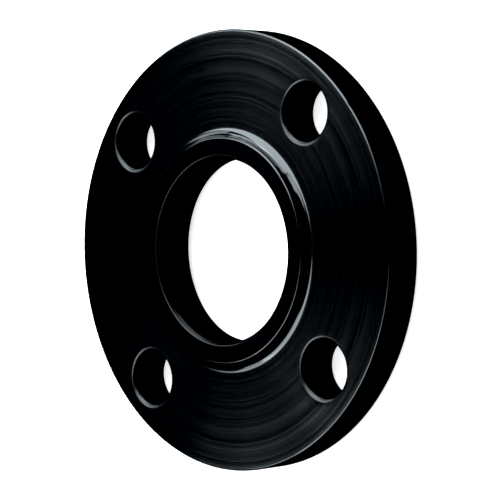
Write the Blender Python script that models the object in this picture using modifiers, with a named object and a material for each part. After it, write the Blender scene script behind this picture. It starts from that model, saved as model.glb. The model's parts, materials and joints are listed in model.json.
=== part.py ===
"""Slip on pipe flange: one steel forging, turned all over and drilled for four bolts.

It lies on its gasket face with the hub up. Metres, +Z up, origin at the centre of the gasket face.
"""
import math

import bpy

# Sizes across the flange, from the bore outwards. Together they give a hub 78 mm across,
# a bolt circle of 120.65 mm and an outside diameter of 152.4 mm.
BORE_DIAMETER = 0.0636
HUB_WALL = 0.0072
HUB_TO_BOLT_HOLE = 0.0118
BOLT_HOLE_DIAMETER = 0.01905
BOLT_HOLE_TO_RIM = 0.00635
BOLT_COUNT = 4

# Sizes along the axis
RING_THICKNESS = 0.0148
HUB_HEIGHT = 0.0026
HUB_DRAFT = math.radians(22)

# Steep bevel at the bore's mouth, with a round at its foot and one at its edge
BORE_BEVEL_WIDTH = 0.001
BORE_BEVEL_DEPTH = 0.0015
BORE_BEVEL_FOOT_RADIUS = 0.001
BORE_BEVEL_EDGE_RADIUS = 0.0003

# Fillet at the foot of the hub, and the radii that break the other edges. On the gasket side
# those of the bore and the rim are larger, and those of the bolt holes smaller.
HUB_FILLET_RADIUS = 0.0035
HUB_EDGE_RADIUS = 0.0006
RIM_EDGE_RADIUS = 0.0008
RIM_GASKET_SIDE_RADIUS = 0.003
BORE_GASKET_SIDE_RADIUS = 0.0045
BOLT_HOLE_EDGE_RADIUS = 0.0017
BOLT_HOLE_GASKET_SIDE_RADIUS = 0.0009

# How finely the round forms are divided
TURNED_STEPS = 96
BOLT_HOLE_STEPS = 32
DEGREES_PER_ARC_STEP = 22.5

# How far a cutter stands out of the faces that it cuts, and the distance at which its tip closes
CUTTER_REACH = 0.005
MERGE_DISTANCE = 0.00001

HUB_RADIUS = BORE_DIAMETER / 2 + HUB_WALL
BOLT_CIRCLE_RADIUS = HUB_RADIUS + HUB_TO_BOLT_HOLE + BOLT_HOLE_DIAMETER / 2
RIM_RADIUS = BOLT_CIRCLE_RADIUS + BOLT_HOLE_DIAMETER / 2 + BOLT_HOLE_TO_RIM


def arc(centre_r, centre_z, radius, start_deg, end_deg):
    """Points of an arc in the section plane, both ends included."""
    steps = max(1, math.ceil(abs(end_deg - start_deg) / DEGREES_PER_ARC_STEP))
    points = []
    for i in range(steps + 1):
        angle = math.radians(start_deg + (end_deg - start_deg) * i / steps)
        points.append((centre_r + radius * math.cos(angle), centre_z + radius * math.sin(angle)))
    return points


def flange_section():
    """Outline of the turned ring from its bore mouth, down the outside and back up the bore."""
    face = RING_THICKNESS
    top = face + HUB_HEIGHT
    bore = BORE_DIAMETER / 2
    bevel_width = min(BORE_BEVEL_WIDTH, HUB_WALL / 3)
    bevel_depth = min(BORE_BEVEL_DEPTH, RING_THICKNESS / 3)
    bevel = math.atan2(bevel_width, bevel_depth)
    bevel_deg = math.degrees(bevel)
    draft_deg = math.degrees(HUB_DRAFT)
    slope = math.tan(HUB_DRAFT)
    run = 1 / math.cos(HUB_DRAFT)

    # No radius is larger than the wall or the height that it is cut from
    bevel_foot = min(BORE_BEVEL_FOOT_RADIUS, bevel_depth)
    bevel_edge = min(BORE_BEVEL_EDGE_RADIUS, bevel_width / 2)
    hub_edge = min(HUB_EDGE_RADIUS, HUB_WALL / 3, HUB_HEIGHT / 3)
    rim_edge = min(RIM_EDGE_RADIUS, BOLT_HOLE_TO_RIM / 3, RING_THICKNESS / 3)
    rim_back = min(RIM_GASKET_SIDE_RADIUS, BOLT_HOLE_TO_RIM / 2, RING_THICKNESS / 3)
    bore_back = min(BORE_GASKET_SIDE_RADIUS, (HUB_WALL + HUB_TO_BOLT_HOLE) / 3, RING_THICKNESS / 3)
    fillet = min(HUB_FILLET_RADIUS, HUB_HEIGHT / (1 - math.sin(HUB_DRAFT)) - hub_edge, HUB_TO_BOLT_HOLE / 2)

    # Both arcs of the bevel are tangent to it
    bevel_foot_z = top - bevel_depth - bevel_foot * math.tan(bevel / 2)
    bevel_edge_r = bore + bevel_width + bevel_edge * (1 - math.sin(bevel)) / math.cos(bevel)

    # Both arcs are tangent to the drafted hub wall, which meets the hub's end at HUB_RADIUS
    hub_edge_r = HUB_RADIUS + hub_edge * slope - hub_edge * run
    fillet_r = HUB_RADIUS + (HUB_HEIGHT - fillet) * slope + fillet * run

    section = arc(bore + bevel_foot, bevel_foot_z, bevel_foot, 180, 180 - bevel_deg)
    section += arc(bevel_edge_r, top - bevel_edge, bevel_edge, 180 - bevel_deg, 90)
    section += arc(hub_edge_r, top - hub_edge, hub_edge, 90, draft_deg)
    section += arc(fillet_r, face + fillet, fillet, 180 + draft_deg, 270)
    section += arc(RIM_RADIUS - rim_edge, face - rim_edge, rim_edge, 90, 0)
    section += arc(RIM_RADIUS - rim_back, rim_back, rim_back, 0, -90)
    section += arc(bore + bore_back, bore_back, bore_back, 270, 180)
    return section


def bolt_hole_section():
    """Outline of the bolt hole's cutter from top to bottom, flared to round both edges of the hole."""
    radius = BOLT_HOLE_DIAMETER / 2
    edge = min(BOLT_HOLE_EDGE_RADIUS, RING_THICKNESS / 3, BOLT_HOLE_TO_RIM / 3)
    back = min(BOLT_HOLE_GASKET_SIDE_RADIUS, RING_THICKNESS / 3, BOLT_HOLE_TO_RIM / 3)
    section = [(0, RING_THICKNESS + CUTTER_REACH), (radius + edge, RING_THICKNESS + CUTTER_REACH)]
    section += arc(radius + edge, RING_THICKNESS - edge, edge, 90, 180)
    section += arc(radius + back, back, back, 180, 270)
    section += [(radius + back, -CUTTER_REACH), (0, -CUTTER_REACH)]
    return section


def turned(name, section, steps, collection, closed):
    """An object that turns a section around Z, either a closed one or one that starts and ends on the axis."""
    count = len(section)
    edges = [(i, i + 1) for i in range(count - 1)]
    if closed:
        edges.append((count - 1, 0))
    mesh = bpy.data.meshes.new(name)
    mesh.from_pydata([(r, 0, z) for r, z in section], edges, [])
    obj = bpy.data.objects.new(name, mesh)
    collection.objects.link(obj)

    screw = obj.modifiers.new("Turn", "SCREW")
    screw.axis = "Z"
    screw.angle = math.tau
    screw.steps = steps
    screw.render_steps = steps
    screw.use_merge_vertices = True
    screw.merge_threshold = MERGE_DISTANCE
    screw.use_smooth_shade = True
    return obj


def new_collection(name):
    collection = bpy.data.collections.new(name)
    bpy.context.scene.collection.children.link(collection)
    return collection


def drill_bolt_holes(flange, cutters):
    """Bolt holes evenly spaced on their circle, straddling the centre lines as pipework calls for."""
    for i in range(BOLT_COUNT):
        angle = math.tau * (i + 0.5) / BOLT_COUNT
        cutter = turned(f"bolt_hole_cutter_{i + 1}", bolt_hole_section(), BOLT_HOLE_STEPS, cutters, closed=False)
        cutter.location = (BOLT_CIRCLE_RADIUS * math.cos(angle), BOLT_CIRCLE_RADIUS * math.sin(angle), 0)
        cutter.hide_render = True
        cutter.display_type = "WIRE"

    drill = flange.modifiers.new("Drill bolt holes", "BOOLEAN")
    drill.operation = "DIFFERENCE"
    drill.operand_type = "COLLECTION"
    drill.collection = cutters
    drill.solver = "EXACT"


def black_varnished_steel():
    """Thin black rust guard over machined steel: nearly black, with a fairly sharp gloss."""
    material = bpy.data.materials.new("black_varnished_steel")
    material.use_nodes = True
    shader = material.node_tree.nodes["Principled BSDF"]
    shader.inputs["Base Color"].default_value = (0.012, 0.012, 0.014, 1)
    shader.inputs["Metallic"].default_value = 0.0
    shader.inputs["Roughness"].default_value = 0.32
    return material


def main():
    for obj in list(bpy.data.objects):
        bpy.data.objects.remove(obj)

    parts = new_collection("slip_on_flange")
    cutters = new_collection("cutters")

    flange = turned("flange", flange_section(), TURNED_STEPS, parts, closed=True)
    drill_bolt_holes(flange, cutters)
    flange.modifiers.new("Even shading", "WEIGHTED_NORMAL")
    flange.data.materials.append(black_varnished_steel())


main()
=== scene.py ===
import json
import math
import random

import bpy
from mathutils import Matrix, Vector

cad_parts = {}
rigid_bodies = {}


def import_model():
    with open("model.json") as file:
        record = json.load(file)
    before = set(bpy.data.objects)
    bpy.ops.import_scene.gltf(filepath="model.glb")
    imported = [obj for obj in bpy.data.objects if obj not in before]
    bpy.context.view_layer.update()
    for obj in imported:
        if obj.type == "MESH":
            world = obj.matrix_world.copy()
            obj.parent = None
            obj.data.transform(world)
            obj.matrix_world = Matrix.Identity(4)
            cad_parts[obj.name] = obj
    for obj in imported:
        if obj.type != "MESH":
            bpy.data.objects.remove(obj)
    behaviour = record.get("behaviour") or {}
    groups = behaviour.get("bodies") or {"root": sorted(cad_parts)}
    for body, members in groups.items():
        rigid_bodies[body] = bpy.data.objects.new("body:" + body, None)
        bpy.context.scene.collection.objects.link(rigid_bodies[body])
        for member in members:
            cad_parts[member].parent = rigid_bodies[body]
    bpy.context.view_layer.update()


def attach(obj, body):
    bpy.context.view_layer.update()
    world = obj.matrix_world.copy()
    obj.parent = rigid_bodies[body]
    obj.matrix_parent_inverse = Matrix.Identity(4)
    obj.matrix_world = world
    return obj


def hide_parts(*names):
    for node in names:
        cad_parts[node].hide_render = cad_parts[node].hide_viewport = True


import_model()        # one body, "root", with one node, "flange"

MM = 0.001

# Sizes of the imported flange, as in part.py
BORE_RADIUS = 31.8 * MM
HUB_RADIUS = 39.0 * MM
RIM_RADIUS = 76.2 * MM
BOLT_CIRCLE_RADIUS = 60.325 * MM
BOLT_HOLE_RADIUS = 9.525 * MM
BOLT_COUNT = 4
RING_THICKNESS = 14.8 * MM
HUB_HEIGHT = 2.6 * MM
HUB_DRAFT = math.radians(22)
HUB_FILLET_RADIUS = 3.5 * MM
HUB_EDGE_RADIUS = 0.6 * MM
RIM_EDGE_RADIUS = 0.8 * MM
RIM_GASKET_SIDE_RADIUS = 3.0 * MM
BORE_BEVEL_WIDTH = 1.0 * MM
BORE_BEVEL_DEPTH = 1.5 * MM
BORE_BEVEL_FOOT_RADIUS = 1.0 * MM
BORE_BEVEL_EDGE_RADIUS = 0.3 * MM
BORE_GASKET_SIDE_RADIUS = 4.5 * MM
BOLT_HOLE_EDGE_RADIUS = 1.7 * MM
BOLT_HOLE_GASKET_SIDE_RADIUS = 0.9 * MM

# Tool marks: one shallow groove for each turn of the work, so they stand one feed apart. The feed
# is drawn coarser than a fine finish has, so that the marks show at the photograph's size.
FACING_FEED = 0.72 * MM
FACING_DEPTH = 0.010 * MM
GASKET_FEED = 0.8 * MM
GASKET_DEPTH = 0.03 * MM
SHALLOWEST_MARK = 0.35
POINTS_PER_MARK = 4
MARKS_SEED = 41

# Unevenness of the turned faces and of the varnish on them
BAND_WIDTH = 3.5 * MM
BAND_RELIEF = 0.014 * MM
LINE_RELIEF = 0.006 * MM
SMUDGE_WIDTH = 22 * MM
LINES_SHARE = 0.45
SMUDGES_SHARE = 0.2

# Unevenness inside the holes: the rings that the drill leaves, and runs in the varnish
DRILL_FEED = 0.6 * MM
DRILL_RELIEF = 0.02 * MM
RUN_WIDTH = 6 * MM

# Noise textures keep nearly all of their values between these
NOISE_LOW = 0.3
NOISE_HIGH = 0.7

# How the varnish shines: its roughness where it lies smoothest and roughest, and how far the tool
# marks stretch its highlights. In the holes it has soaked into a coarser wall, and shines less.
VARNISH_IOR = 1.5
FACED_SMOOTH = 0.06
FACED_ROUGH = 0.12
FACED_STRETCH = 0.935
FORM_TURNED_SMOOTH = 0.07
FORM_TURNED_ROUGH = 0.105
FORM_TURNED_STRETCH = 0.4
DRILLED_SMOOTH = 0.16
DRILLED_ROUGH = 0.24
DRILLED_SHINE = 0.28

# A quarter turn lays the stretched highlights across the tool marks
ACROSS_THE_MARKS = 0.25

# The drilled finish reaches this share of the way over a bolt hole's rounded edge
DRILLED_SHARE_OF_EDGE = 0.97

# How finely the round forms are divided
TURNED_STEPS = 144
BOLT_HOLE_STEPS = 64
DEGREES_PER_ARC_STEP = 9
CUTTER_REACH = 5 * MM
MERGE_DISTANCE = 0.001 * MM

# Studio: all lights stand at one distance from the flange, and all have one cool white
LIGHT_DISTANCE = 2.0
LIGHT_COLOUR = "#e2f0f6"
BACKDROP_STRENGTH = 1.2
PAPER_GLOW = 0.6
PAPER_REACH = 4.0

# Camera, from the outlines of the bore, hub, rim and bolt holes in the photograph
CAMERA_PLACE = Vector((0.51008, -0.02517, 0.50359))
CAMERA_AIM = Vector((0.01229, -0.00079, 0.01480))
CAMERA_ROLL = math.radians(-4.25)
CAMERA_LENS = 147.4
CAMERA_SENSOR = 36.0
CAMERA_NEAREST = 0.01
CAMERA_FARTHEST = 100.0

# The photograph was printed hard: whatever is darker than this shows as black
BLACK_POINT = 0.005


def arc(centre_r, centre_z, radius, start_deg, end_deg):
    """Points of an arc in the section plane, both ends included."""
    steps = max(1, math.ceil(abs(end_deg - start_deg) / DEGREES_PER_ARC_STEP))
    points = []
    for i in range(steps + 1):
        angle = math.radians(start_deg + (end_deg - start_deg) * i / steps)
        points.append((centre_r + radius * math.cos(angle), centre_z + radius * math.sin(angle)))
    return points


def tool_marks(start_r, end_r, face_z, into_metal, feed, depth, draws):
    """Points across a turned face, from crest to crest of its shallow grooves, both ends left out."""
    count = round(abs(end_r - start_r) / feed)
    width = (end_r - start_r) / count
    points = []
    for i in range(count):
        dip = depth * draws.uniform(SHALLOWEST_MARK, 1.0)
        for part in range(POINTS_PER_MARK):
            across = (i + part / POINTS_PER_MARK) * width
            fall = dip * math.sin(math.pi * part / POINTS_PER_MARK)
            points.append((start_r + across, face_z + into_metal * fall))
    return points[1:]


def hub_toe_radius():
    """Where the fillet at the hub's foot runs out into the bolting face."""
    slope = math.tan(HUB_DRAFT)
    run = 1 / math.cos(HUB_DRAFT)
    return HUB_RADIUS + (HUB_HEIGHT - HUB_FILLET_RADIUS) * slope + HUB_FILLET_RADIUS * run


def flange_section(draws):
    """Outline of the turned ring from its bore mouth, down the outside and back up the bore."""
    face = RING_THICKNESS
    top = face + HUB_HEIGHT
    draft_deg = math.degrees(HUB_DRAFT)
    slope = math.tan(HUB_DRAFT)
    run = 1 / math.cos(HUB_DRAFT)
    hub_edge_r = HUB_RADIUS + HUB_EDGE_RADIUS * slope - HUB_EDGE_RADIUS * run
    toe_r = hub_toe_radius()
    rim_r = RIM_RADIUS - RIM_EDGE_RADIUS
    rim_back_r = RIM_RADIUS - RIM_GASKET_SIDE_RADIUS
    bore_back_r = BORE_RADIUS + BORE_GASKET_SIDE_RADIUS

    # Both arcs of the bevel are tangent to it
    bevel = math.atan2(BORE_BEVEL_WIDTH, BORE_BEVEL_DEPTH)
    steep_deg = 180 - math.degrees(bevel)
    foot_r = BORE_RADIUS + BORE_BEVEL_FOOT_RADIUS
    foot_z = top - BORE_BEVEL_DEPTH - BORE_BEVEL_FOOT_RADIUS * math.tan(bevel / 2)
    edge_run = BORE_BEVEL_EDGE_RADIUS * (1 - math.sin(bevel)) / math.cos(bevel)
    mouth_r = BORE_RADIUS + BORE_BEVEL_WIDTH + edge_run

    section = arc(foot_r, foot_z, BORE_BEVEL_FOOT_RADIUS, 180, steep_deg)
    section += arc(mouth_r, top - BORE_BEVEL_EDGE_RADIUS, BORE_BEVEL_EDGE_RADIUS, steep_deg, 90)
    section += tool_marks(mouth_r, hub_edge_r, top, -1, FACING_FEED, FACING_DEPTH, draws)
    section += arc(hub_edge_r, top - HUB_EDGE_RADIUS, HUB_EDGE_RADIUS, 90, draft_deg)
    section += arc(toe_r, face + HUB_FILLET_RADIUS, HUB_FILLET_RADIUS, 180 + draft_deg, 270)
    section += tool_marks(toe_r, rim_r, face, -1, FACING_FEED, FACING_DEPTH, draws)
    section += arc(rim_r, face - RIM_EDGE_RADIUS, RIM_EDGE_RADIUS, 90, 0)
    section += arc(rim_back_r, RIM_GASKET_SIDE_RADIUS, RIM_GASKET_SIDE_RADIUS, 0, -90)
    section += tool_marks(rim_back_r, bore_back_r, 0, 1, GASKET_FEED, GASKET_DEPTH, draws)
    section += arc(bore_back_r, BORE_GASKET_SIDE_RADIUS, BORE_GASKET_SIDE_RADIUS, 270, 180)
    return section


def bolt_hole_section():
    """Outline of the bolt hole's cutter from top to bottom, flared to round both edges of the hole."""
    edge_r = BOLT_HOLE_RADIUS + BOLT_HOLE_EDGE_RADIUS
    back_r = BOLT_HOLE_RADIUS + BOLT_HOLE_GASKET_SIDE_RADIUS
    section = [(0, RING_THICKNESS + CUTTER_REACH), (edge_r, RING_THICKNESS + CUTTER_REACH)]
    section += arc(edge_r, RING_THICKNESS - BOLT_HOLE_EDGE_RADIUS, BOLT_HOLE_EDGE_RADIUS, 90, 180)
    section += arc(back_r, BOLT_HOLE_GASKET_SIDE_RADIUS, BOLT_HOLE_GASKET_SIDE_RADIUS, 180, 270)
    section += [(back_r, -CUTTER_REACH), (0, -CUTTER_REACH)]
    return section


def turned(name, section, steps, collection, closed):
    """An object that turns a section around Z: a closed one, or one that starts and ends on the axis."""
    count = len(section)
    edges = [(i, i + 1) for i in range(count - 1)]
    if closed:
        edges.append((count - 1, 0))
    mesh = bpy.data.meshes.new(name)
    mesh.from_pydata([(r, 0, z) for r, z in section], edges, [])
    obj = bpy.data.objects.new(name, mesh)
    collection.objects.link(obj)
    screw = obj.modifiers.new("Turn", "SCREW")
    screw.axis = "Z"
    screw.angle = math.tau
    screw.steps = steps
    screw.render_steps = steps
    screw.use_merge_vertices = True
    screw.merge_threshold = MERGE_DISTANCE
    screw.use_smooth_shade = True
    return obj


def bolt_hole_places():
    """Centres of the bolt holes, evenly spaced on their circle and straddling the centre lines."""
    angles = [math.tau * (i + 0.5) / BOLT_COUNT for i in range(BOLT_COUNT)]
    return [Vector((math.cos(a), math.sin(a))) * BOLT_CIRCLE_RADIUS for a in angles]


def drilled(flange):
    """Cuts the bolt holes, and gives back the finished mesh with nothing left to work out."""
    cutters = bpy.data.collections.new("bolt_hole_cutters")
    bpy.context.scene.collection.children.link(cutters)
    for i, place in enumerate(bolt_hole_places()):
        name = f"bolt_hole_cutter_{i + 1}"
        cutter = turned(name, bolt_hole_section(), BOLT_HOLE_STEPS, cutters, closed=False)
        cutter.location = (place.x, place.y, 0)
    drill = flange.modifiers.new("Drill bolt holes", "BOOLEAN")
    drill.operation = "DIFFERENCE"
    drill.operand_type = "COLLECTION"
    drill.collection = cutters
    drill.solver = "EXACT"
    finished = flange.evaluated_get(bpy.context.evaluated_depsgraph_get())
    mesh = bpy.data.meshes.new_from_object(finished)
    for cutter in list(cutters.objects):
        bpy.data.objects.remove(cutter)
    bpy.data.collections.remove(cutters)
    return mesh


def linear(hex_colour):
    """An sRGB hex colour as the linear RGBA that a shader takes."""
    parts = [int(hex_colour[i:i + 2], 16) / 255 for i in (1, 3, 5)]
    return tuple(p / 12.92 if p <= 0.04045 else ((p + 0.055) / 1.055) ** 2.4 for p in parts) + (1.0,)


def add_node(tree, kind, settings=None, values=None, links=None):
    """Adds one node, with its settings, the values of its inputs, and links from (node, output) pairs."""
    node = tree.nodes.new(kind)
    for name, value in (settings or {}).items():
        setattr(node, name, value)
    for socket, value in (values or {}).items():
        node.inputs[socket].default_value = value
    for socket, (source, output) in (links or {}).items():
        tree.links.new(source.outputs[output], node.inputs[socket])
    return node


def new_material(name):
    """A material with no nodes in it yet."""
    material = bpy.data.materials.new(name)
    material.use_nodes = True
    material.node_tree.nodes.clear()
    return material


def black_varnish_on_turned_steel(name, smooth, rough, stretch):
    """Black rust-guard varnish, sprayed thin over turned steel. The film follows every tool mark, so
    the gloss spreads across the marks and stays narrow along them: a dark face with a soft sheen in
    two opposite wedges, made of fine rings and a few broader ones."""
    material = new_material(name)
    tree = material.node_tree
    place = add_node(tree, "ShaderNodeTexCoord")
    flat = add_node(
        tree, "ShaderNodeVectorMath", {"operation": "MULTIPLY"}, {1: (1, 1, 0)}, {0: (place, "Object")}
    )
    radius = add_node(tree, "ShaderNodeVectorMath", {"operation": "LENGTH"}, None, {0: (flat, "Vector")})
    height = add_node(tree, "ShaderNodeSeparateXYZ", None, None, {0: (place, "Object")})

    # Distance along the section, near enough: it grows outwards on the faces and down the sides
    along = add_node(
        tree, "ShaderNodeMath", {"operation": "SUBTRACT"}, None, {0: (radius, "Value"), 1: (height, "Z")}
    )
    bands = add_node(
        tree, "ShaderNodeTexNoise", {"noise_dimensions": "1D"},
        {"Scale": 1 / BAND_WIDTH, "Detail": 2.0, "Roughness": 0.6}, {"W": (along, "Value")},
    )
    lines = add_node(
        tree, "ShaderNodeTexNoise", {"noise_dimensions": "1D"},
        {"Scale": 1 / FACING_FEED, "Detail": 2.0, "Roughness": 0.7}, {"W": (along, "Value")},
    )
    smudges = add_node(
        tree, "ShaderNodeTexNoise", {"noise_dimensions": "3D"},
        {"Scale": 1 / SMUDGE_WIDTH, "Detail": 4.0, "Roughness": 0.55}, {"Vector": (place, "Object")},
    )
    ringed = add_node(
        tree, "ShaderNodeMix", None, {"Factor": LINES_SHARE}, {"A": (bands, "Fac"), "B": (lines, "Fac")}
    )
    uneven = add_node(
        tree, "ShaderNodeMix", None, {"Factor": SMUDGES_SHARE},
        {"A": (ringed, "Result"), "B": (smudges, "Fac")},
    )
    roughness = add_node(
        tree, "ShaderNodeMapRange", None,
        {"From Min": NOISE_LOW, "From Max": NOISE_HIGH, "To Min": smooth, "To Max": rough},
        {"Value": (uneven, "Result")},
    )
    colour = add_node(tree, "ShaderNodeValToRGB", None, None, {"Fac": (lines, "Fac")})
    colour.color_ramp.elements[0].position = 0.3
    colour.color_ramp.elements[0].color = linear("#020203")
    colour.color_ramp.elements[1].position = 0.75
    colour.color_ramp.elements[1].color = linear("#060707")
    waves = add_node(
        tree, "ShaderNodeBump", None, {"Strength": 1.0, "Distance": BAND_RELIEF}, {"Height": (bands, "Fac")}
    )
    relief = add_node(
        tree, "ShaderNodeBump", None, {"Strength": 1.0, "Distance": LINE_RELIEF},
        {"Height": (lines, "Fac"), "Normal": (waves, "Normal")},
    )
    around = add_node(tree, "ShaderNodeTangent", {"direction_type": "RADIAL", "axis": "Z"})
    shader = add_node(
        tree, "ShaderNodeBsdfPrincipled", None,
        {
            "Metallic": 0.0,
            "IOR": VARNISH_IOR,
            "Anisotropic": stretch,
            "Anisotropic Rotation": ACROSS_THE_MARKS,
        },
        {
            "Base Color": (colour, "Color"),
            "Roughness": (roughness, "Result"),
            "Normal": (relief, "Normal"),
            "Tangent": (around, "Tangent"),
        },
    )
    add_node(tree, "ShaderNodeOutputMaterial", None, None, {"Surface": (shader, "BSDF")})
    return material


def black_varnish_on_drilled_steel():
    """The same varnish in the bolt holes and the bore. It has soaked into the coarser wall that the
    drill and the boring bar leave, so only a faint glint runs round the edge of each hole."""
    material = new_material("black_varnish_on_drilled_steel")
    tree = material.node_tree
    place = add_node(tree, "ShaderNodeTexCoord")
    height = add_node(tree, "ShaderNodeSeparateXYZ", None, None, {0: (place, "Object")})
    rings = add_node(
        tree, "ShaderNodeTexNoise", {"noise_dimensions": "1D"},
        {"Scale": 1 / DRILL_FEED, "Detail": 3.0, "Roughness": 0.6}, {"W": (height, "Z")},
    )
    runs = add_node(
        tree, "ShaderNodeTexNoise", {"noise_dimensions": "3D"},
        {"Scale": 1 / RUN_WIDTH, "Detail": 3.0, "Roughness": 0.5}, {"Vector": (place, "Object")},
    )
    colour = add_node(tree, "ShaderNodeValToRGB", None, None, {"Fac": (runs, "Fac")})
    colour.color_ramp.elements[0].color = linear("#020202")
    colour.color_ramp.elements[1].color = linear("#050505")
    roughness = add_node(
        tree, "ShaderNodeMapRange", None,
        {"From Min": NOISE_LOW, "From Max": NOISE_HIGH, "To Min": DRILLED_SMOOTH, "To Max": DRILLED_ROUGH},
        {"Value": (runs, "Fac")},
    )
    relief = add_node(
        tree, "ShaderNodeBump", None, {"Strength": 1.0, "Distance": DRILL_RELIEF}, {"Height": (rings, "Fac")}
    )
    shader = add_node(
        tree, "ShaderNodeBsdfPrincipled", None,
        {"Metallic": 0.0, "IOR": VARNISH_IOR, "Specular IOR Level": DRILLED_SHINE},
        {
            "Base Color": (colour, "Color"),
            "Roughness": (roughness, "Result"),
            "Normal": (relief, "Normal"),
        },
    )
    add_node(tree, "ShaderNodeOutputMaterial", None, None, {"Surface": (shader, "BSDF")})
    return material


def varnish(mesh):
    """Gives each part of the flange the varnish for the way in which its steel was cut."""
    mesh.materials.clear()

    # Faces and rim: a single point fed across them
    mesh.materials.append(
        black_varnish_on_turned_steel(
            "black_varnish_on_faced_steel", FACED_SMOOTH, FACED_ROUGH, FACED_STRETCH
        )
    )

    # Hub and fillet: a form tool plunged in, which leaves a smoother surface with rounder highlights
    mesh.materials.append(
        black_varnish_on_turned_steel(
            "black_varnish_on_form_turned_steel", FORM_TURNED_SMOOTH, FORM_TURNED_ROUGH, FORM_TURNED_STRETCH
        )
    )

    # Bolt holes and bore
    mesh.materials.append(black_varnish_on_drilled_steel())

    faced, form_turned, drilled_through = range(3)
    toe_r = hub_toe_radius()
    mouth_r = BORE_RADIUS + BORE_BEVEL_WIDTH + BORE_BEVEL_EDGE_RADIUS
    hole_r = BOLT_HOLE_RADIUS + DRILLED_SHARE_OF_EDGE * BOLT_HOLE_EDGE_RADIUS
    holes = bolt_hole_places()
    for polygon in mesh.polygons:
        at = polygon.center.xy
        if at.length < mouth_r or any((at - hole).length < hole_r for hole in holes):
            polygon.material_index = drilled_through
        elif at.length < toe_r and polygon.center.z > RING_THICKNESS:
            polygon.material_index = form_turned
        else:
            polygon.material_index = faced


def make_flange():
    """The whole flange: turned from its section, drilled, and varnished."""
    scene = bpy.context.scene
    draws = random.Random(MARKS_SEED)
    blank = turned("flange_blank", flange_section(draws), TURNED_STEPS, scene.collection, closed=True)
    mesh = drilled(blank)
    bpy.data.objects.remove(blank)
    mesh.name = "varnished_flange"
    varnish(mesh)
    flange = bpy.data.objects.new("varnished_flange", mesh)
    scene.collection.objects.link(flange)
    return flange


def soft_box(name, direction, long_way, width, height, watts):
    """A rectangular studio light, aimed at the flange from a direction, with its width along long_way."""
    data = bpy.data.lights.new(name, "AREA")
    data.shape = "RECTANGLE"
    data.size = width
    data.size_y = height
    data.energy = watts
    data.color = linear(LIGHT_COLOUR)[:3]
    light = bpy.data.objects.new(name, data)
    bpy.context.scene.collection.objects.link(light)
    away = Vector(direction).normalized()
    across = Vector(long_way).cross(away).normalized()
    along = away.cross(across)
    place = Vector((0, 0, RING_THICKNESS)) + away * LIGHT_DISTANCE
    light.matrix_world = Matrix.Translation(place) @ Matrix((along, -across, away)).transposed().to_4x4()
    return light


def white_surroundings():
    """White paper under the flange and white all round it, which light it but aren't mirrored in it."""
    scene = bpy.context.scene
    world = bpy.data.worlds.new("white_studio")
    scene.world = world
    world.use_nodes = True
    backdrop = world.node_tree.nodes["Background"]
    backdrop.inputs["Color"].default_value = linear("#ffffff")
    backdrop.inputs["Strength"].default_value = BACKDROP_STRENGTH
    world.cycles_visibility.glossy = False

    mesh = bpy.data.meshes.new("floor")
    corners = [(x * PAPER_REACH, y * PAPER_REACH, 0) for x, y in ((-1, -1), (1, -1), (1, 1), (-1, 1))]
    mesh.from_pydata(corners, [], [(0, 1, 2, 3)])
    floor = bpy.data.objects.new("floor", mesh)
    scene.collection.objects.link(floor)
    floor.visible_glossy = False

    # Matt card that glows a little, so it comes out white without a shadow at the flange's foot
    paper = new_material("white_studio_paper")
    shader = add_node(
        paper.node_tree, "ShaderNodeBsdfPrincipled", None,
        {
            "Base Color": linear("#f6f6f6"),
            "Roughness": 0.9,
            "Emission Color": linear("#ffffff"),
            "Emission Strength": PAPER_GLOW,
        },
    )
    add_node(paper.node_tree, "ShaderNodeOutputMaterial", None, None, {"Surface": (shader, "BSDF")})
    mesh.materials.append(paper)


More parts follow.
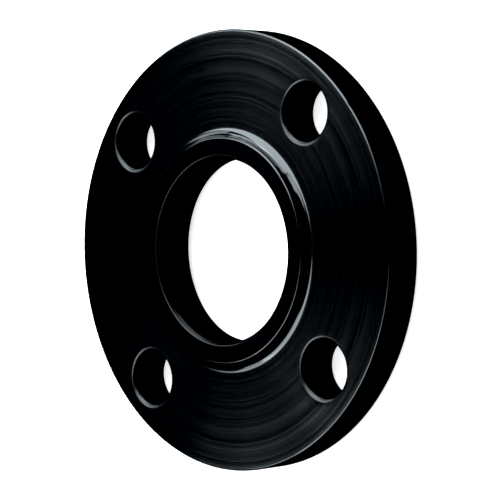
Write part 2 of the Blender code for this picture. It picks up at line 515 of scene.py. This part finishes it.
def soft_lights():
    """The lights that the varnish mirrors. None stands where the flat faces would mirror it whole, so
    the faces stay dark between the two wedges of sheen."""
    # The wide band on the fillet above the bore, the rim's bright crescent and the upper sheen
    soft_box("upper_soft_box", (-0.306, 0.613, 0.734), (0.698, 0.648, -0.301), 2.30, 1.22, 89.0)
    # Carries that band on, down the right of the fillet
    soft_box("right_soft_box", (0.105, 0.49, 0.865), (0.53, 0.40, -0.305), 1.40, 0.42, 14.0)
    # Fades the band out towards the left
    soft_box("left_soft_box", (-0.74, 0.59, 0.35), (0.0, 0.37, -0.50), 0.90, 0.64, 6.5)
    # The steep upper side of the hub, and the mouth of the bore
    soft_box("back_soft_box", (-0.125, 0.90, 0.34), (1.0, 0.0, 0.36), 2.15, 0.60, 24.0)
    soft_box("low_back_soft_box", (-0.05, 0.985, 0.12), (1.0, 0.0, 0.1), 1.50, 0.34, 4.0)
    # The band at the lower right of the hub's foot, and the lower sheen on the right
    soft_box("lower_soft_box", (-0.41, -0.30, 0.86), (0.375, 0.10, 0.233), 0.92, 0.94, 23.0)
    # The lower sheen towards the left
    soft_box("lower_sheen_box", (-0.69, -0.21, 0.69), (0.7, 0.0, 0.7), 0.40, 0.20, 1.2)
    # Widens the band under the hub
    soft_box("lower_toe_box", (-0.607, -0.391, 0.692), (0.158, -0.004, 0.136), 0.42, 0.76, 5.0)


def hard_print():
    """Shows the darkest tones as black, as the photograph does."""
    view = bpy.context.scene.view_settings
    view.view_transform = "Standard"
    view.use_curve_mapping = True
    view.curve_mapping.black_level = (BLACK_POINT, BLACK_POINT, BLACK_POINT)
    view.curve_mapping.update()


def make_camera():
    """The photograph's camera, aimed down at the flange and rolled a little."""
    scene = bpy.context.scene
    data = bpy.data.cameras.new("camera")
    data.sensor_width = CAMERA_SENSOR
    data.lens = CAMERA_LENS
    data.clip_start = CAMERA_NEAREST
    data.clip_end = CAMERA_FARTHEST
    camera = bpy.data.objects.new("camera", data)
    scene.collection.objects.link(camera)
    back = (CAMERA_PLACE - CAMERA_AIM).normalized()
    right = Vector((0, 1, 0)).cross(back).normalized()
    up = back.cross(right)
    turn = Matrix((right, up, back)).transposed()
    roll = Matrix.Rotation(CAMERA_ROLL, 3, "Z")
    camera.matrix_world = Matrix.Translation(CAMERA_PLACE) @ (turn @ roll).to_4x4()
    scene.camera = camera


make_camera()
flange = make_flange()
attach(flange, "root")
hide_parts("flange")
hard_print()
white_surroundings()
soft_lights()
